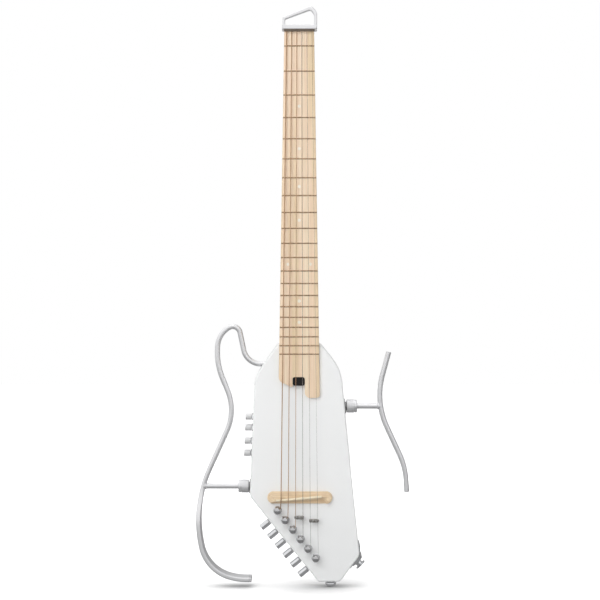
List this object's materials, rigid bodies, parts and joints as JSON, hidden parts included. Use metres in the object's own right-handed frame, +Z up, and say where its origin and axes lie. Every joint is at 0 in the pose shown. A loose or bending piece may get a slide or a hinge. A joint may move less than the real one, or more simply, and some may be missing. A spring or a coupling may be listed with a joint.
{
  "type": "headless silent guitar",
  "caption": "Headless silent guitar: slim slab body, bolted neck with hanging loop, geared tuners in the body and plug-in bent metal frames.",
  "frame": {"origin": "highest point inside the hanging loop, midway through its thickness, where a hook carries the guitar", "axes": "+Z up along the strings, +Y from the strings to the guitar's back, +X to the right seen from the front"},
  "size_m": [0.3106, 0.0596, 0.8411],
  "materials": {
    "white_paint": "satin white lacquer on wood",
    "maple": "satin maple",
    "maple_board": "satin maple with steel frets",
    "bridge_wood": "satin hardwood",
    "bone": "polished",
    "satin_silver": "bead-blasted satin",
    "chrome": "polished",
    "steel": "turned",
    "brass": "turned",
    "bronze_string": "wound",
    "steel_string": "drawn wire",
    "black_plastic": "satin black",
    "circuit": "circuit board with steel cans",
    "cell_case": "block cell"
  },
  "bodies": {
    "root": {"body": "white_paint", "neck": "maple", "fretboard": "maple_board", "truss_rod": "steel", "truss_cover": "black_plastic", "head_loop": "satin_silver", "bridge": "bridge_wood", "saddle": "bone", "pickup_strip": "brass", "string_tree_1": "chrome", "string_tree_2": "chrome", "control_board": "circuit", "battery": "cell_case", "back_cover": "black_plastic", "upper_socket": "steel", "jack_plate": "chrome", "strap_jack": "chrome", "bottom_pin": "chrome", "left_socket": "steel", "right_socket": "steel", "string_1": "bronze_string", "tuner_frame_1": "chrome", "string_2": "bronze_string", "tuner_frame_2": "chrome", "string_3": "bronze_string", "tuner_frame_3": "chrome", "string_4": "steel_string", "tuner_frame_4": "chrome", "string_5": "steel_string", "tuner_frame_5": "chrome", "string_6": "steel_string", "tuner_frame_6": "chrome"},
    "tuner_1_knob": {"tuner_knob_1": "chrome"},
    "tuner_1_post": {"tuner_post_1": "chrome", "tuner_wheel_1": "brass"},
    "tuner_2_knob": {"tuner_knob_2": "chrome"},
    "tuner_2_post": {"tuner_post_2": "chrome", "tuner_wheel_2": "brass"},
    "tuner_3_knob": {"tuner_knob_3": "chrome"},
    "tuner_3_post": {"tuner_post_3": "chrome", "tuner_wheel_3": "brass"},
    "tuner_4_knob": {"tuner_knob_4": "chrome"},
    "tuner_4_post": {"tuner_post_4": "chrome", "tuner_wheel_4": "brass"},
    "tuner_5_knob": {"tuner_knob_5": "chrome"},
    "tuner_5_post": {"tuner_post_5": "chrome", "tuner_wheel_5": "brass"},
    "tuner_6_knob": {"tuner_knob_6": "chrome"},
    "tuner_6_post": {"tuner_post_6": "chrome", "tuner_wheel_6": "brass"},
    "control_1": {"control_knob_1": "satin_silver"},
    "control_2": {"control_knob_2": "satin_silver"},
    "control_3": {"control_knob_3": "satin_silver"},
    "control_4": {"control_knob_4": "satin_silver"},
    "left_arm": {"left_frame": "satin_silver", "left_end_cap": "black_plastic"},
    "right_arm": {"right_frame": "satin_silver", "right_end_cap": "black_plastic"},
    "left_lock": {"left_collar": "satin_silver"},
    "right_lock": {"right_collar": "satin_silver"}
  },
  "joints": [
    {"name": "tuner_1_knob_turn", "type": "hinge", "parent": "root", "child": "tuner_1_knob", "pos_m": [-0.04203, 0.03275, -0.72708], "axis": [0.7785, 0, 0.6277], "continuous": true},
    {"name": "tuner_1_post_turn", "type": "hinge", "parent": "root", "child": "tuner_1_post", "pos_m": [-0.04642, 0.00875, -0.72163], "axis": [0, 1, 0], "continuous": true},
    {"name": "tuner_2_knob_turn", "type": "hinge", "parent": "root", "child": "tuner_2_knob", "pos_m": [-0.03093, 0.03275, -0.74084], "axis": [0.7785, 0, 0.6277], "continuous": true},
    {"name": "tuner_2_post_turn", "type": "hinge", "parent": "root", "child": "tuner_2_post", "pos_m": [-0.03532, 0.00875, -0.73539], "axis": [0, 1, 0], "continuous": true},
    {"name": "tuner_3_knob_turn", "type": "hinge", "parent": "root", "child": "tuner_3_knob", "pos_m": [-0.01983, 0.03275, -0.7546], "axis": [0.7785, 0, 0.6277], "continuous": true},
    {"name": "tuner_3_post_turn", "type": "hinge", "parent": "root", "child": "tuner_3_post", "pos_m": [-0.02423, 0.00875, -0.74916], "axis": [0, 1, 0], "continuous": true},
    {"name": "tuner_4_knob_turn", "type": "hinge", "parent": "root", "child": "tuner_4_knob", "pos_m": [-0.00873, 0.03275, -0.76837], "axis": [0.7785, 0, 0.6277], "continuous": true},
    {"name": "tuner_4_post_turn", "type": "hinge", "parent": "root", "child": "tuner_4_post", "pos_m": [-0.01313, 0.00875, -0.76292], "axis": [0, 1, 0], "continuous": true},
    {"name": "tuner_5_knob_turn", "type": "hinge", "parent": "root", "child": "tuner_5_knob", "pos_m": [0.00236, 0.03275, -0.78213], "axis": [0.7785, 0, 0.6277], "continuous": true},
    {"name": "tuner_5_post_turn", "type": "hinge", "parent": "root", "child": "tuner_5_post", "pos_m": [-0.00203, 0.00875, -0.77668], "axis": [0, 1, 0], "continuous": true},
    {"name": "tuner_6_knob_turn", "type": "hinge", "parent": "root", "child": "tuner_6_knob", "pos_m": [0.01346, 0.03275, -0.79589], "axis": [0.7785, 0, 0.6277], "continuous": true},
    {"name": "tuner_6_post_turn", "type": "hinge", "parent": "root", "child": "tuner_6_post", "pos_m": [0.00907, 0.00875, -0.79044], "axis": [0, 1, 0], "continuous": true},
    {"name": "control_1_turn", "type": "hinge", "parent": "root", "child": "control_1", "pos_m": [-0.09, 0.03125, -0.5873], "axis": [-1, 0, 0], "range_deg": [-150, 150]},
    {"name": "control_2_turn", "type": "hinge", "parent": "root", "child": "control_2", "pos_m": [-0.09, 0.03125, -0.60311], "axis": [-1, 0, 0], "range_deg": [-150, 150]},
    {"name": "control_3_turn", "type": "hinge", "parent": "root", "child": "control_3", "pos_m": [-0.09, 0.03125, -0.6226], "axis": [-1, 0, 0], "range_deg": [-150, 150]},
    {"name": "control_4_turn", "type": "hinge", "parent": "root", "child": "control_4", "pos_m": [-0.09, 0.03125, -0.64031], "axis": [-1, 0, 0], "range_deg": [-150, 150]},
    {"name": "left_arm_slide", "type": "slide", "parent": "root", "child": "left_arm", "axis": [-1, 0, 0], "range_m": [0, 0.03]},
    {"name": "right_arm_slide", "type": "slide", "parent": "root", "child": "right_arm", "axis": [1, 0, 0], "range_m": [0, 0.03]},
    {"name": "left_lock_turn", "type": "hinge", "parent": "root", "child": "left_lock", "pos_m": [-0.1, 0.03125, -0.68881], "axis": [-1, 0, 0], "range_deg": [0, 270]},
    {"name": "right_lock_turn", "type": "hinge", "parent": "root", "child": "right_lock", "pos_m": [0.06, 0.03125, -0.5719], "axis": [1, 0, 0], "range_deg": [0, 270]}
  ],
  "couplings": [
    {"joint": "tuner_1_post_turn", "follows": "tuner_1_knob_turn", "ratio": -0.071429},
    {"joint": "tuner_2_post_turn", "follows": "tuner_2_knob_turn", "ratio": -0.071429},
    {"joint": "tuner_3_post_turn", "follows": "tuner_3_knob_turn", "ratio": -0.071429},
    {"joint": "tuner_4_post_turn", "follows": "tuner_4_knob_turn", "ratio": -0.071429},
    {"joint": "tuner_5_post_turn", "follows": "tuner_5_knob_turn", "ratio": -0.071429},
    {"joint": "tuner_6_post_turn", "follows": "tuner_6_knob_turn", "ratio": -0.071429}
  ]
}
